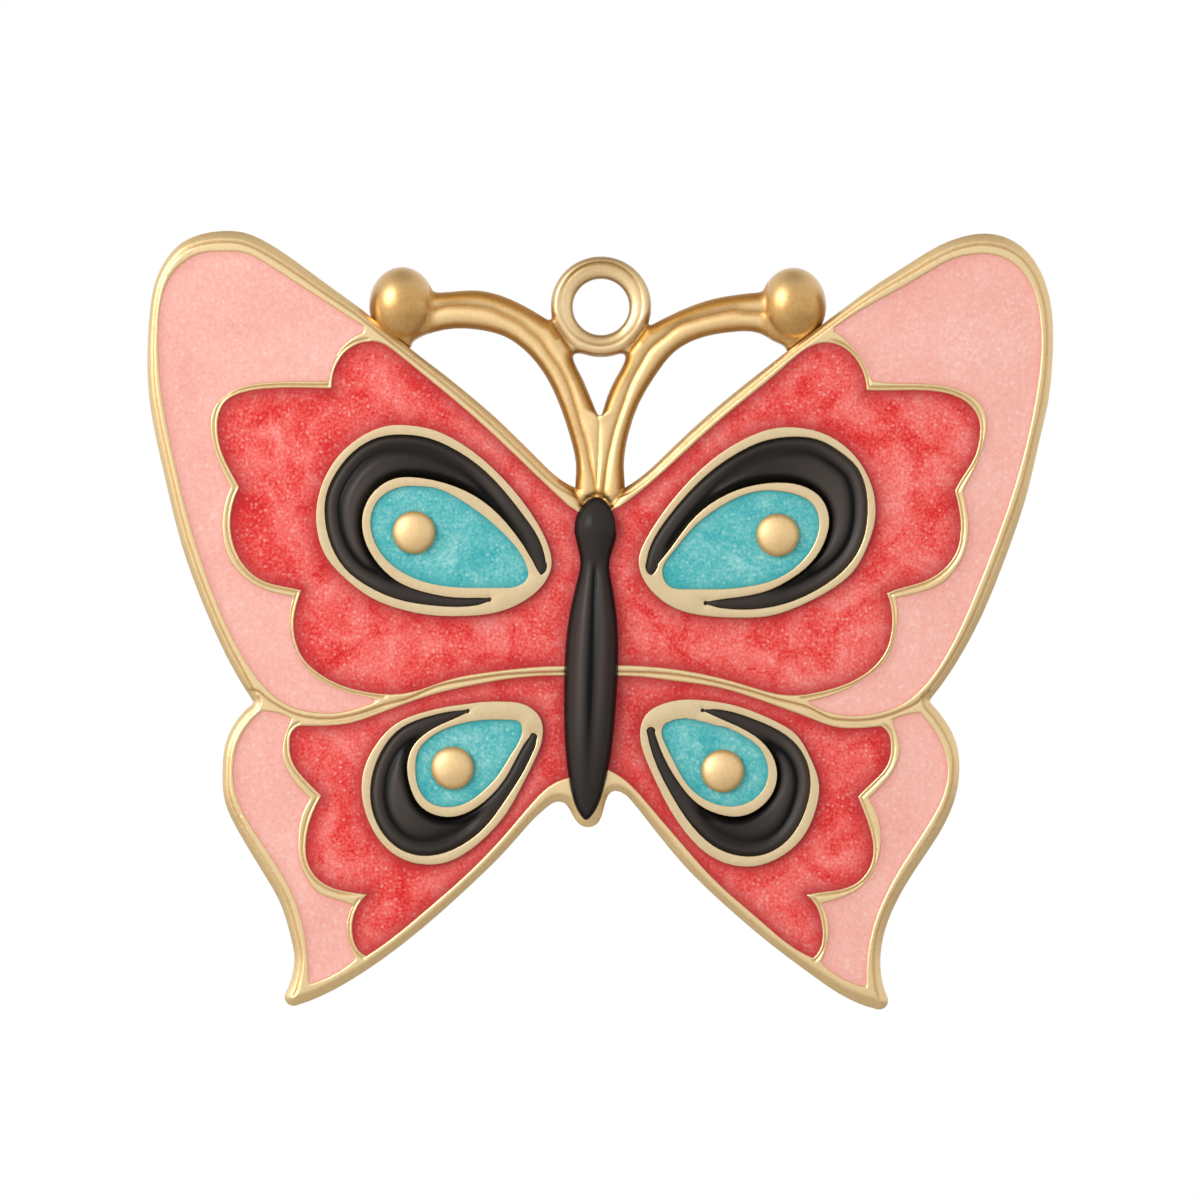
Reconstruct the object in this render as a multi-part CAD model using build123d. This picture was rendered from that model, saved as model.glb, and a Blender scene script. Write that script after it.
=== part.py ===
from build123d import *
import math
import os

# A small enamelled butterfly that hangs from a ring above its head.
# It faces -Y, with +X to the right and +Z up, and the middle of the ring's bore is the origin.
# Depths are measured towards the front from the middle of the metal, in mm.

# Overall size
ornament_height = 31.75
wing_span = 36.97

# Cast tray that carries the enamels
casting_back_depth = -0.95
casting_floor_thickness = 0.95
upper_wall_depth = 0.95
lower_wing_step = 0.14
enamel_recess = 0.10
rim_shoulder_width = 0.24
rim_shoulder_drop = 0.18

# Hanging ring
ring_bore_radius = 1.16
ring_wall_width = 0.90
ring_thickness = 1.30
ring_edge_round = 0.30

# Antennae and the balls at their ends
antenna_thickness = 1.30
antenna_edge_round = 0.30
ball_radius = 1.33
ball_foot_radius = 0.80

# Eye bezels, their enamels and their studs
bezel_rise = 0.06
crescent_rise = 0.05
teal_recess = 0.08
stud_radius = 0.87
stud_rise = 0.46
stud_foot_radius = 0.55

# Body
body_shoulder_drop = 0.20

# One overrun serves all cuts
cut_overrun = 5.0

# Places read off the front view, in its own units: the silhouette's height and span there,
# and the middle of the ring's bore
view_height_pixels = 778
view_span_pixels = 906
ring_centre_pixels = (601, 306)

# The rim runs straight where a ball sits on it
ball_centre_pixels = {"left": (401.5, 300), "right": (794.5, 300)}
ball_seat_pixels = {"left": [(418, 354.5), (358, 306.5)], "right": [(840, 311), (780, 356.5)]}

# Each outline is a list of stretches that meet in corners. Two points are a straight line,
# three are an arc and more are a smooth curve.
silhouette_pixels = [
    [(574, 487), (562, 480.5), (540, 461), (500, 421.5), (460, 387), (418, 354.5)],
    ball_seat_pixels["left"],
    [(358, 306.5), (340, 293.5), (320, 279), (290, 257), (262, 239.5), (243, 232), (222, 230.5), (200, 234),
     (180, 243.5), (165, 260), (155, 281), (149.5, 310), (147, 350), (149, 400), (156, 440), (165, 480),
     (181, 544), (201, 600), (226, 656), (251, 699)],
    [(251, 699), (252.5, 702), (251, 705)],
    [(251, 705), (236, 721), (225, 744), (222, 770), (224, 800), (238, 832), (262, 872), (280, 904),
     (290, 936), (294, 960), (291, 979), (284.5, 995)],
    [(284.5, 995), (286.5, 1003.5), (296, 1006)],
    [(296, 1006), (320, 997), (350, 981), (390, 954), (430, 922), (470, 886), (510, 846), (533, 820),
     (545, 809), (557, 802), (566, 804.5)],
    [(566, 804.5), (573, 816), (580, 825), (588, 827.5), (596, 825), (602, 815), (607, 798)],
    [(607, 798), (610, 793.5), (614.5, 791)],
    [(614.5, 791), (622, 793), (634, 804), (660, 837), (690, 872), (730, 910), (770, 944), (810, 974),
     (850, 1000), (876, 1009.5)],
    [(876, 1009.5), (885.5, 1008), (888, 998)],
    [(888, 998), (881.5, 975), (881, 955), (885, 932), (894, 908), (917, 868), (943, 828), (956, 797),
     (960, 770), (956, 741), (945, 720), (932, 704)],
    [(932, 704), (930.5, 701), (932, 698)],
    [(932, 698), (956, 664), (982, 616), (1008, 552), (1029, 488), (1040, 440), (1049, 400), (1053, 360),
     (1053.5, 325), (1050, 297), (1040, 269), (1023, 247), (1005, 236.5), (985, 233), (962, 236.5),
     (940, 245), (910, 263), (880, 282), (858, 297.5), (840, 311)],
    ball_seat_pixels["right"],
    [(780, 356.5), (750, 380), (710, 413), (670, 450), (640, 477.5), (626, 487)],
    [(626, 487), (600, 491.5), (574, 487)],
]

# Line under the upper wings, where their rim stands above the lower wings
wing_step_pixels = [
    [(240, 690), (257, 690), (273, 702), (297, 714), (326, 718), (356, 713.5), (384, 704), (408, 697.5),
     (437, 685.5), (470, 679), (510, 673.5), (564, 671)],
    [(564, 671), (616, 671)],
    [(616, 671), (660, 672.5), (700, 678), (740, 687.5), (775, 698), (806, 706), (829, 717), (846, 719.5),
     (868, 719), (890, 714), (915, 703), (926, 692), (945, 690)],
    [(945, 690), (1100, 690)],
    [(1100, 690), (1100, 1100)],
    [(1100, 1100), (100, 1100)],
    [(100, 1100), (100, 690)],
    [(100, 690), (240, 690)],
]

pink_pixels = {
    "upper_left": [
        [(359, 333.5), (363.5, 329.5), (360, 325)],
        [(360, 325), (335, 308.5), (300, 286), (266, 264), (245, 253.5), (222, 252), (200, 254), (182, 264),
         (168, 281), (160.5, 306), (158.3, 345), (162, 395), (172, 449), (187, 512), (207, 576), (234, 640),
         (257, 677), (283, 702), (312, 711.5), (340, 712), (362, 706.5), (378, 700.5)],
        [(378, 700.5), (360, 696), (338, 689.5), (318, 680), (302, 664), (293, 647), (289, 624), (290, 608),
         (293, 597)],
        [(293, 597), (270, 592), (252, 584), (237, 571), (227, 555), (222.5, 536), (222.5, 514), (230, 488)],
        [(230, 488), (221, 468), (213.5, 448), (210, 428), (213, 409), (223, 397), (240, 387), (262, 382.5),
         (295, 381), (328, 381)],
        [(328, 381), (334, 360), (344, 345), (359, 333.5)],
    ],
    "upper_right": [
        [(837, 332), (834.5, 329), (837, 326.5)],
        [(837, 326.5), (862, 310), (900, 289), (930, 271.5), (952, 259.5), (972, 255), (992, 255),
         (1012, 263), (1030, 284), (1039, 314), (1041, 350), (1036, 395), (1025, 448), (1006, 512),
         (982, 576), (954, 640), (929, 680), (905, 702), (876, 713), (846, 715), (825, 710.5), (808, 702)],
        [(808, 702), (828, 697), (850, 688), (874, 673), (889, 656), (896.5, 632), (898, 616), (896, 598.5)],
        [(896, 598.5), (920, 593), (940, 585), (955, 571), (965, 552), (969, 528), (967, 508), (963.5, 492)],
        [(963.5, 492), (970, 478), (979, 460), (985.5, 438), (986.5, 418), (980, 403), (966, 392.5),
         (946, 385.5), (910, 383), (871.5, 380)],
        [(871.5, 380), (867, 368), (856, 350), (837, 332)],
    ],
    "lower_left": [
        [(262, 711.5), (276, 713), (291, 719)],
        [(291, 719), (284, 738), (281.5, 753), (287, 771), (297, 785.5), (309.5, 799)],
        [(309.5, 799), (301, 816), (297.5, 836), (299, 860), (306, 878), (318, 893), (334, 899.5),
         (352.5, 905.5)],
        [(352.5, 905.5), (347.5, 918), (346, 930), (349, 944), (355, 959.5)],
        [(355, 959.5), (334, 974), (309, 984)],
        [(309, 984), (307.5, 956), (302, 922), (290, 889), (270, 855), (249, 823), (236, 795), (233, 768),
         (237, 746), (246, 728), (262, 711.5)],
    ],
    "lower_right": [
        [(892.5, 720), (905, 715.5), (920, 713)],
        [(920, 713), (933, 729), (943, 748), (947.5, 769), (944, 793), (931, 820), (909, 854), (889, 888),
         (873, 927), (867, 958), (866.5, 987)],
        [(866.5, 987), (846, 980), (821.5, 963)],
        [(821.5, 963), (828, 942), (829.5, 928), (826.5, 914), (821.5, 904)],
        [(821.5, 904), (837, 900), (855, 892), (869, 879), (878.5, 860), (881.5, 840), (878.5, 818),
         (869, 799)],
        [(869, 799), (884, 784), (895, 769), (900, 751), (898, 737), (892.5, 720)],
    ],
}

red_pixels = {
    "upper_left": [
        [(568, 506), (530, 470), (490, 432), (450, 397), (420, 372.5), (395, 352), (380, 343), (364, 342.5),
         (348, 350), (337, 364), (332, 388.5)],
        [(332, 388.5), (300, 388), (264, 389), (240, 393.5), (226, 401.5), (219, 414), (217.5, 430),
         (221, 450), (230, 470), (239.5, 487.5)],
        [(239.5, 487.5), (232.5, 506), (230.5, 528), (235, 549), (246, 567.5), (264, 581), (280, 585.5),
         (301.5, 590)],
        [(301.5, 590), (297, 604), (294, 620), (295.5, 640), (304, 659), (319, 673), (340, 684.5),
         (366, 691.5), (392, 694), (418, 690), (450, 679), (490, 671.5), (530, 667), (575, 665.5)],
        [(575, 665.5), (590, 600)],
        [(590, 600), (590, 520)],
        [(590, 520), (568, 506)],
    ],
    "upper_right": [
        [(620, 507), (650, 484), (700, 438.5), (740, 404), (780, 371), (800, 353.5), (815, 345), (832, 343.5),
         (848, 351), (859, 364), (866.5, 390.5)],
        [(866.5, 390.5), (900, 390.5), (930, 391), (952, 395), (969, 404.5), (978.5, 419), (979.5, 437),
         (975, 456), (965, 473), (954.5, 491)],
        [(954.5, 491), (959, 510), (960.5, 530), (956.5, 551), (944, 568.5), (924, 581), (905, 586.5),
         (886.5, 593)],
        [(886.5, 593), (891, 608), (891.5, 630), (886, 650), (872, 668), (850, 682), (822, 691), (790, 695),
         (768, 691.5), (740, 683), (700, 673), (660, 667), (605, 665)],
        [(605, 665), (596, 600)],
        [(596, 600), (600, 516)],
        [(600, 516), (620, 507)],
    ],
    "lower_left": [
        [(575, 676.5), (535, 676.5), (500, 680.5), (466, 687), (434, 694.5), (404, 704.5), (376, 715),
         (350, 723.5), (328, 726), (300, 726)],
        [(300, 726), (292, 732), (289.5, 744), (292.5, 762), (304, 778.5), (321.5, 796)],
        [(321.5, 796), (312, 815), (306.5, 836), (307, 860), (316, 877), (333, 888), (350, 892),
         (367.5, 894.5)],
        [(367.5, 894.5), (358, 906), (352.5, 922), (353, 938), (358, 950), (366, 956)],
        [(366, 956), (390, 939.5), (430, 906.5), (470, 871), (500, 840), (530, 805), (548, 787),
         (569, 777.5)],
        [(569, 777.5), (585, 760)],
        [(585, 760), (585, 680)],
        [(585, 680), (575, 676.5)],
    ],
    "lower_right": [
        [(605, 677), (640, 677), (680, 682), (715, 687), (750, 697), (780, 707.5), (810, 718.5), (834, 727),
         (860, 728.5), (881, 726.5)],
        [(881, 726.5), (888, 733), (891, 747), (887.5, 764.5), (876, 779), (858, 797)],
        [(858, 797), (867, 820), (873, 844), (870.5, 866), (858, 882), (840, 889.5), (822, 892),
         (806, 895)],
        [(806, 895), (816, 906), (822, 926), (822, 943), (813.5, 958)],
        [(813.5, 958), (796, 949), (760, 920), (720, 885), (680, 841), (650, 806), (630, 784), (607, 769)],
        [(607, 769), (595, 760)],
        [(595, 760), (595, 680)],
        [(595, 680), (605, 677)],
    ],
}

# Closed smooth loops around each eye
bezel_pixels = {
    "upper_left": [(402, 425), (378, 428.5), (357, 439.5), (338, 457), (324, 480), (317, 505), (317.5, 532),
                   (327, 558), (345, 578), (370, 597), (400, 609), (430, 615), (465, 616), (498, 612),
                   (524, 601), (542, 586), (551.5, 565), (548.5, 546.5), (536, 521), (513, 489.5),
                   (487, 463), (458, 441.5), (430, 429)],
    "upper_right": [(793, 427), (768, 429.5), (744, 439), (718, 455), (690, 480), (664, 511), (646, 539),
                    (638.5, 560), (642.5, 578), (655, 595), (676, 609), (705, 616), (740, 618), (770, 616),
                    (800, 606), (829, 591), (852, 573), (868, 545), (875.5, 515), (873, 490), (863, 467),
                    (846, 447), (820, 432)],
    "lower_left": [(510, 701.5), (480, 702), (450, 706), (420, 713), (397, 723), (377, 743), (364, 769),
                   (361.5, 794), (367, 818), (379, 840), (398, 857), (422, 864.5), (448, 862), (473, 848),
                   (490, 833), (506, 814), (522, 786), (535, 760), (543, 736), (541, 719), (529, 706.5)],
    "lower_right": [(688, 699.5), (664, 703.5), (646, 715), (640, 734), (645, 757), (655, 780), (669, 808),
                    (686, 833), (706, 853), (730, 864.5), (756, 866), (782, 856), (803, 837), (815, 812),
                    (819, 784), (810, 757), (796, 734.5), (775, 721), (745, 708.5), (715, 701.5)],
}

crescent_pixels = {
    "upper_left": [
        [(541, 574.5), (545.5, 571), (545.5, 562)],
        [(545.5, 562), (539, 539), (523, 514.5), (504, 490.5), (480, 466.5), (454, 449), (428, 438),
         (402, 434.5), (378, 437.5), (356, 449.5), (337, 471), (326, 496), (325, 520), (331, 545),
         (345, 568.5), (369, 587), (400, 600), (432, 605.5), (468, 606.5), (488, 603)],
        [(488, 603), (493, 598.5), (487, 597)],
        [(487, 597), (455, 597.5), (424, 592), (397, 581), (376, 561), (364, 537), (363.5, 512),
         (374, 492), (394, 479), (420, 478), (452, 485.5), (481, 500), (505, 521.5), (521, 542), (534, 562)],
        [(534, 562), (537, 568), (541, 574.5)],
    ],
    "upper_right": [
        [(651, 574.5), (647, 571), (646.5, 563)],
        [(646.5, 563), (652, 543), (668, 517.5), (688, 493.5), (711, 471.5), (738, 453), (765, 441),
         (792, 437), (818, 440), (840, 452), (858, 469), (866, 490), (867.5, 512), (862, 543), (846, 568),
         (820, 588), (790, 602), (760, 608.5), (732, 609), (708, 605.5)],
        [(708, 605.5), (702.5, 603), (708, 601)],
        [(708, 601), (738, 597.5), (766, 591.5), (792, 578.5), (812, 562), (825, 541), (829, 518),
         (821, 498), (800, 485), (776, 482.5), (748, 486.5), (718, 499), (692, 520), (673, 545), (657, 564)],
        [(657, 564), (655, 570), (651, 574.5)],
    ],
    "lower_left": [
        [(465, 709.5), (471, 711), (466, 714)],
        [(466, 714), (446, 722), (426, 733), (412, 748), (407, 766), (410, 787), (420, 806), (438, 816),
         (456, 816.5), (476, 808), (492, 795), (508, 774.5), (521, 750), (530, 737)],
        [(530, 737), (534, 734), (535.5, 739)],
        [(535.5, 739), (530, 758), (519, 779), (502, 805), (484, 828), (462, 845), (440, 854), (420, 855.5),
         (399, 848.5), (380, 829), (371, 804), (371.5, 779), (381, 752), (400, 729), (424, 718),
         (446, 712.5), (465, 709.5)],
    ],
    "lower_right": [
        [(706, 712.5), (699.5, 710.5), (706, 709)],
        [(706, 709), (728, 711), (756, 720), (778, 730), (797, 745), (808, 765), (810.5, 788), (805, 812),
         (790, 838), (766, 854), (740, 856), (715, 847), (692, 826), (672, 796), (656, 764), (647, 733)],
        [(647, 733), (650.5, 727), (655, 733)],
        [(655, 733), (663, 755), (679, 783), (698, 804), (720, 814.5), (742, 816), (762, 806), (774, 790),
         (776.5, 768), (765, 745), (745, 730), (706, 712.5)],
    ],
}

teal_pixels = {
    "upper_left": [(412, 486), (394, 489), (377, 501.5), (370.5, 520), (375, 543), (387, 560.5), (409, 576),
                   (437, 585), (470, 588), (500, 588), (518, 586), (527.5, 578.5), (526, 564), (510, 540),
                   (484, 516), (456, 497), (433, 487.5)],
    "upper_right": [(776, 491), (749, 493.5), (720, 507), (695, 526), (673, 552), (662.5, 571), (668, 585),
                    (690, 589), (720, 589), (750, 586), (776, 579), (797, 566), (812, 548), (819, 525),
                    (813, 505), (797, 495)],
    "lower_left": [(505, 720), (480, 720.5), (455, 725.5), (431, 737), (418, 752), (415.5, 768), (419, 789),
                   (430, 802.5), (448, 807), (466, 803), (482, 792), (499, 774), (512, 753), (522, 732),
                   (520, 723)],
    "lower_right": [(690, 720), (668, 721), (662, 729), (667, 748), (679, 772), (692, 790), (710, 802),
                    (733, 806.5), (753, 800), (765, 787), (768, 768), (761, 749.5), (744, 736), (720, 726)],
}

stud_centre_pixels = {
    "upper_left": (414, 532.5),
    "upper_right": (777.5, 535),
    "lower_left": (452.5, 768),
    "lower_right": (722.5, 771),
}

antenna_pixels = {
    "left": [
        [(420, 290), (450, 291), (474, 289.5), (500, 294.5), (524, 305), (549, 320)],
        [(549, 320), (590, 310)],
        [(590, 310), (572, 350)],
        [(572, 350), (574, 361), (582, 377), (590.5, 397), (597.5, 411)],
        [(597.5, 411), (597.5, 510)],
        [(597.5, 510), (577, 510)],
        [(577, 510), (574.5, 490), (576, 469), (570.5, 438), (560, 406), (544, 373), (524, 349),
         (503, 335), (480, 329), (454, 327.5), (434, 331), (420, 336), (412.5, 341), (411, 347), (414, 354)],
        [(414, 354), (390, 345)],
        [(390, 345), (392, 318)],
        [(392, 318), (420, 290)],
    ],
    "right": [
        [(790, 290), (764, 291), (740, 293.5), (712, 298.5), (680, 310), (650, 325)],
        [(650, 325), (610, 312)],
        [(610, 312), (626, 350)],
        [(626, 350), (624.5, 361), (616, 377), (606.5, 398), (602, 411)],
        [(602, 411), (597.5, 411)],
        [(597.5, 411), (597.5, 510)],
        [(597.5, 510), (623, 510)],
        [(623, 510), (625.5, 490), (624, 469), (629, 432), (639.5, 402), (656, 374), (676, 350),
         (704, 336), (732, 331), (752, 330.5), (764, 334), (776, 341.5), (784, 345), (787, 350), (784, 357)],
        [(784, 357), (808, 352)],
        [(808, 352), (804, 318)],
        [(804, 318), (790, 290)],
    ],
}

# The body is round about a leaning line from head to tail: distance along it, then half width
body_head_pixels = (597, 497.5)
body_tail_pixels = (586, 819.5)
body_half_width_pixels = [
    (0, 0), (3, 7), (8, 12.5), (15, 17), (23, 20), (31, 21), (41, 19), (52, 16), (62, 13.7), (72, 13.7),
    (84, 16), (97, 18.8), (112, 21.5), (132, 24), (162, 25.5), (195, 25), (225, 23.8), (252, 21.8),
    (275, 18.5), (295, 14.3), (308, 10), (316, 5.5), (322, 0),
]

section_plane = Plane(origin=(0, 0, 0), x_dir=(1, 0, 0), z_dir=(0, 0, -1))
width_scale = wing_span / view_span_pixels
height_scale = ornament_height / view_height_pixels
eye_places = list(bezel_pixels)


def place(pixel):
    # Where a point of the front view lies, across and up from the ring's bore
    across = (pixel[0] - ring_centre_pixels[0]) * width_scale
    up = (ring_centre_pixels[1] - pixel[1]) * height_scale
    return (across, up)


def stretch(pixels):
    places = [place(pixel) for pixel in pixels]
    if len(places) == 2:
        return Line(*places)
    if len(places) == 3:
        return ThreePointArc(*places)
    return Spline(*places)


def outline(stretches):
    return make_face([stretch(pixels) for pixels in stretches])


def loop(pixels):
    return make_face(Spline(*[place(pixel) for pixel in pixels], periodic=True))


def slab(face, low, high):
    # A flat piece between two depths
    return extrude(Plane.XZ.offset(low) * face, amount=high - low, dir=(0, -1, 0))


def wall_depth(spot):
    # The lower wings lie a step behind the upper ones
    if spot.startswith("lower"):
        return upper_wall_depth - lower_wing_step
    return upper_wall_depth


floor_depth = casting_back_depth + casting_floor_thickness
casting_outline = outline(silhouette_pixels)
casting_reach = slab(casting_outline, casting_back_depth - cut_overrun, upper_wall_depth + cut_overrun)


def make_body():
    # A turned shape, half round above its shoulder and straight sided down to the tray's floor
    head = Vector(*place(body_head_pixels))
    tail = Vector(*place(body_tail_pixels))
    lean = math.degrees(math.atan2(head.X - tail.X, head.Y - tail.Y))
    length = (head - tail).length
    along_scale = length / body_half_width_pixels[-1][0]
    side = [(half * width_scale, -along * along_scale) for along, half in body_half_width_pixels]
    half_face = make_face([Spline(*side), Line(side[-1], side[0])])
    turned = revolve(Plane.XZ * half_face, axis=Axis.Z, revolution_arc=360)
    whole_outline = half_face + mirror(half_face, about=Plane.YZ)
    shoulder = upper_wall_depth - body_shoulder_drop
    front_half = split(turned, bisect_by=Plane.XZ, keep=Keep.TOP)
    lower_part = slab(whole_outline, floor_depth - shoulder, 0)
    seat_cut = slab(whole_outline, floor_depth - shoulder, cut_overrun)
    lying = Pos(head.X, -shoulder, head.Y) * Rot(0, lean, 0)
    return lying * (front_half + lower_part), lying * seat_cut


def make_casting(body_reach):
    # A tray in the outline of the wings, with a stepped rim and a pocket for each enamel
    top = upper_wall_depth + cut_overrun
    inner_outline = offset(casting_outline, amount=-rim_shoulder_width).to_splines()
    shoulder = casting_outline - inner_outline
    lower_level = upper_wall_depth - lower_wing_step
    lower_outline = outline(wing_step_pixels)
    lower_reach = slab(lower_outline, casting_back_depth, top)
    casting = slab(casting_outline, casting_back_depth, upper_wall_depth)
    casting -= slab(shoulder, upper_wall_depth - rim_shoulder_drop, top)
    casting -= slab(lower_outline, lower_level, top)
    casting -= slab(shoulder, lower_level - rim_shoulder_drop, top) & lower_reach
    for spot in eye_places:
        casting -= slab(outline(pink_pixels[spot]), floor_depth, top)
        casting -= slab(outline(red_pixels[spot]), floor_depth, top)
    return casting - body_reach


def make_ring():
    middle = ring_bore_radius + ring_wall_width / 2
    section = Rectangle(ring_wall_width, ring_thickness)
    section = fillet(section.vertices(), ring_edge_round)
    return revolve(section_plane * Pos(middle, 0) * section, axis=Axis.Y, revolution_arc=360)


def make_ball(side):
    # A ball with a short foot that points at its seat on the rim
    across, up = place(ball_centre_pixels[side])
    seat_start, seat_end = [Vector(*place(pixel)) for pixel in ball_seat_pixels[side]]
    run = seat_end - seat_start
    foot_angle = math.degrees(math.atan2(run.Y, run.X)) + 90
    foot_length = 2 * ball_radius
    foot = Rot(0, 90 - foot_angle, 0) * Pos(0, 0, foot_length / 2) * Cylinder(ball_foot_radius, foot_length)
    return Pos(across, 0, up) * (Sphere(ball_radius) + foot)


def make_antenna(side, ball):
    # It runs from the ball to the ring and down to the saddle above the head
    blank = slab(outline(antenna_pixels[side]), -antenna_thickness / 2, antenna_thickness / 2)
    front_edges = blank.faces().sort_by(Axis.Y)[0].edges()
    back_edges = blank.faces().sort_by(Axis.Y)[-1].edges()
    curved_edges = (front_edges + back_edges).filter_by(GeomType.BSPLINE)
    blank = fillet(curved_edges, antenna_edge_round)
    ring_reach = Rot(90, 0, 0) * Cylinder(ring_bore_radius + ring_wall_width, antenna_thickness + cut_overrun)
    return blank - ring_reach - ball - casting_reach


def make_stud(spot):
    # A dome on a round foot that stands on the tray's floor
    across, up = place(stud_centre_pixels[spot])
    level = teal_depth(spot)
    dome_radius = (stud_radius**2 + stud_rise**2) / (2 * stud_rise)
    half_angle = math.degrees(math.asin(stud_radius / dome_radius))
    centre = (0, level + stud_rise - dome_radius)
    dome = CenterArc(centre, dome_radius, 90 - half_angle, half_angle)
    profile = Polyline(
        dome @ 1,
        (0, floor_depth),
        (stud_foot_radius, floor_depth),
        (stud_foot_radius, level),
        dome @ 0,
    )
    turned = revolve(section_plane * make_face([dome, profile]), axis=Axis.Y, revolution_arc=360)
    return Pos(across, 0, up) * turned


def teal_depth(spot):
    return wall_depth(spot) + bezel_rise - teal_recess


nodes = {}
body, body_reach = make_body()
nodes["body"] = body
nodes["wing_casting"] = make_casting(body_reach)
nodes["hanging_ring"] = make_ring()

for side in antenna_pixels:
    ball = make_ball(side)
    nodes[f"antenna_ball_{side}"] = ball - casting_reach
    nodes[f"antenna_{side}"] = make_antenna(side, ball)

for spot in eye_places:
    wall = wall_depth(spot)
    eye = slab(loop(bezel_pixels[spot]), floor_depth, wall + bezel_rise)
    pink = slab(outline(pink_pixels[spot]), floor_depth, wall - enamel_recess)
    red = slab(outline(red_pixels[spot]), floor_depth, wall - enamel_recess)
    crescent = slab(outline(crescent_pixels[spot]), floor_depth, wall + bezel_rise + crescent_rise)
    teal_window = loop(teal_pixels[spot])
    teal_reach = slab(teal_window, floor_depth - cut_overrun, wall + cut_overrun)
    stud = make_stud(spot)
    nodes[f"pink_enamel_{spot}"] = pink
    nodes[f"red_enamel_{spot}"] = red - eye - body_reach
    nodes[f"black_crescent_{spot}"] = crescent
    nodes[f"teal_enamel_{spot}"] = slab(teal_window, floor_depth, teal_depth(spot)) - stud
    nodes[f"eye_stud_{spot}"] = stud
    nodes[f"eye_bezel_{spot}"] = eye - crescent - teal_reach

os.makedirs("parts", exist_ok=True)
for name, shape in nodes.items():
    export_step(shape, f"parts/{name}.step")
    print(name, len(shape.solids()), round(shape.volume, 3))
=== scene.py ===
import math

import bmesh
import bpy
import numpy as np
from mathutils import Matrix, Vector, kdtree


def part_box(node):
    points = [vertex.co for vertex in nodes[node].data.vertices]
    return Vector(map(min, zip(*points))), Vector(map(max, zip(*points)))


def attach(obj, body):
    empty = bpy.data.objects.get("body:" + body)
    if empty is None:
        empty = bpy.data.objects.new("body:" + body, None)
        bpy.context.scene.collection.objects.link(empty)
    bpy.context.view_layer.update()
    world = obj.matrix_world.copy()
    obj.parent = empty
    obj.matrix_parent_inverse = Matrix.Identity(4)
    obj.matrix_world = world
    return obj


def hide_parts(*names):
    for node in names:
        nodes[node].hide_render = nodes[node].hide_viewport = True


# A small enamelled butterfly, gold plated, seen straight from the front.
# Shapes are worked on in millimetres and turned to metres when a piece is finished.
# "Depth" is measured from the middle of the metal towards the front, so it is -Y.

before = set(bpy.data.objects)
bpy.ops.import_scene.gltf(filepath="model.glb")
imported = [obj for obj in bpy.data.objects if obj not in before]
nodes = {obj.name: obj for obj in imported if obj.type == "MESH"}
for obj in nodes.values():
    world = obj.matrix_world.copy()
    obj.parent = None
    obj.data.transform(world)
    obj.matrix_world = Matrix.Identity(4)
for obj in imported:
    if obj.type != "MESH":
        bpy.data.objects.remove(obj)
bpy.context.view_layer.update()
scene = bpy.context.scene
spots = ("upper_left", "upper_right", "lower_left", "lower_right")
sides = ("left", "right")

view = {  # the front view's own units, and what they measure
    "centre": (601, 306),
    "across": 36.97 / 906,
    "up": 31.75 / 778,
    "middle": (600, 600),
    "width": 1200,
}
nets = {"merge": 0.0005, "cut": 1e-5, "lineStep": 0.02, "sectionStep": 0.03, "quickCoarser": 1.5}
sectionDepth = {"silhouette": -0.5, "pink": 0.4, "red": 0.4, "teal": 0.6, "crescent": 0.3, "crown": 0.0,
                "body": 0.6}


def placeOf(pixel):
    # millimetres across and up from the ring's bore
    return ((pixel[0] - view["centre"][0]) * view["across"], (view["centre"][1] - pixel[1]) * view["up"])


def nodeShape(nodeName):
    # a merged copy of a CAD node, in millimetres
    shape = bmesh.new()
    shape.from_mesh(nodes[nodeName].data)
    bmesh.ops.scale(shape, vec=(1000, 1000, 1000), verts=shape.verts)
    bmesh.ops.remove_doubles(shape, verts=shape.verts, dist=nets["merge"])
    return shape


def meshOf(shape):
    mesh = bpy.data.meshes.new("shape")
    shape.to_mesh(mesh)
    shape.free()
    return mesh


def withModifier(mesh, kind, **settings):
    # the mesh after one modifier
    worker = bpy.data.objects.new("worker", mesh)
    scene.collection.objects.link(worker)
    modifier = worker.modifiers.new(kind, kind)
    for name, value in settings.items():
        setattr(modifier, name, value)
    evaluated = worker.evaluated_get(bpy.context.evaluated_depsgraph_get())
    result = bpy.data.meshes.new_from_object(evaluated)
    bpy.data.objects.remove(worker)
    bpy.data.meshes.remove(mesh)
    return result


def evenMesh(mesh, voxel):
    # an even net of small faces that can take fine relief
    return withModifier(mesh, "REMESH", mode="VOXEL", voxel_size=voxel, adaptivity=0.0)


def pointsOf(mesh, kind="co"):
    flat = np.empty(len(mesh.vertices) * 3)
    mesh.vertices.foreach_get(kind, flat)
    return flat.reshape(-1, 3)


def movePoints(mesh, points):
    mesh.vertices.foreach_set("co", points.ravel())
    mesh.update()


def cutAway(shape, point, outward):
    # removes what lies beyond a plane and closes the cut
    everything = shape.verts[:] + shape.edges[:] + shape.faces[:]
    bmesh.ops.bisect_plane(shape, geom=everything, plane_co=point, plane_no=outward, clear_outer=True,
                           dist=nets["cut"])
    rim = [edge for edge in shape.edges if edge.is_boundary]
    bmesh.ops.triangle_fill(shape, edges=rim, use_beauty=True, use_dissolve=False)


def cutBetween(shape, low, high):
    # what lies between two depths
    cutAway(shape, (0, -low, 0), (0, 1, 0))
    cutAway(shape, (0, -high, 0), (0, -1, 0))
    bmesh.ops.recalc_face_normals(shape, faces=shape.faces)
    return shape


def joined(shapes):
    # several closed shapes in one
    whole = bmesh.new()
    for shape in shapes:
        part = meshOf(shape)
        whole.from_mesh(part)
        bpy.data.meshes.remove(part)
    return whole


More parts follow.
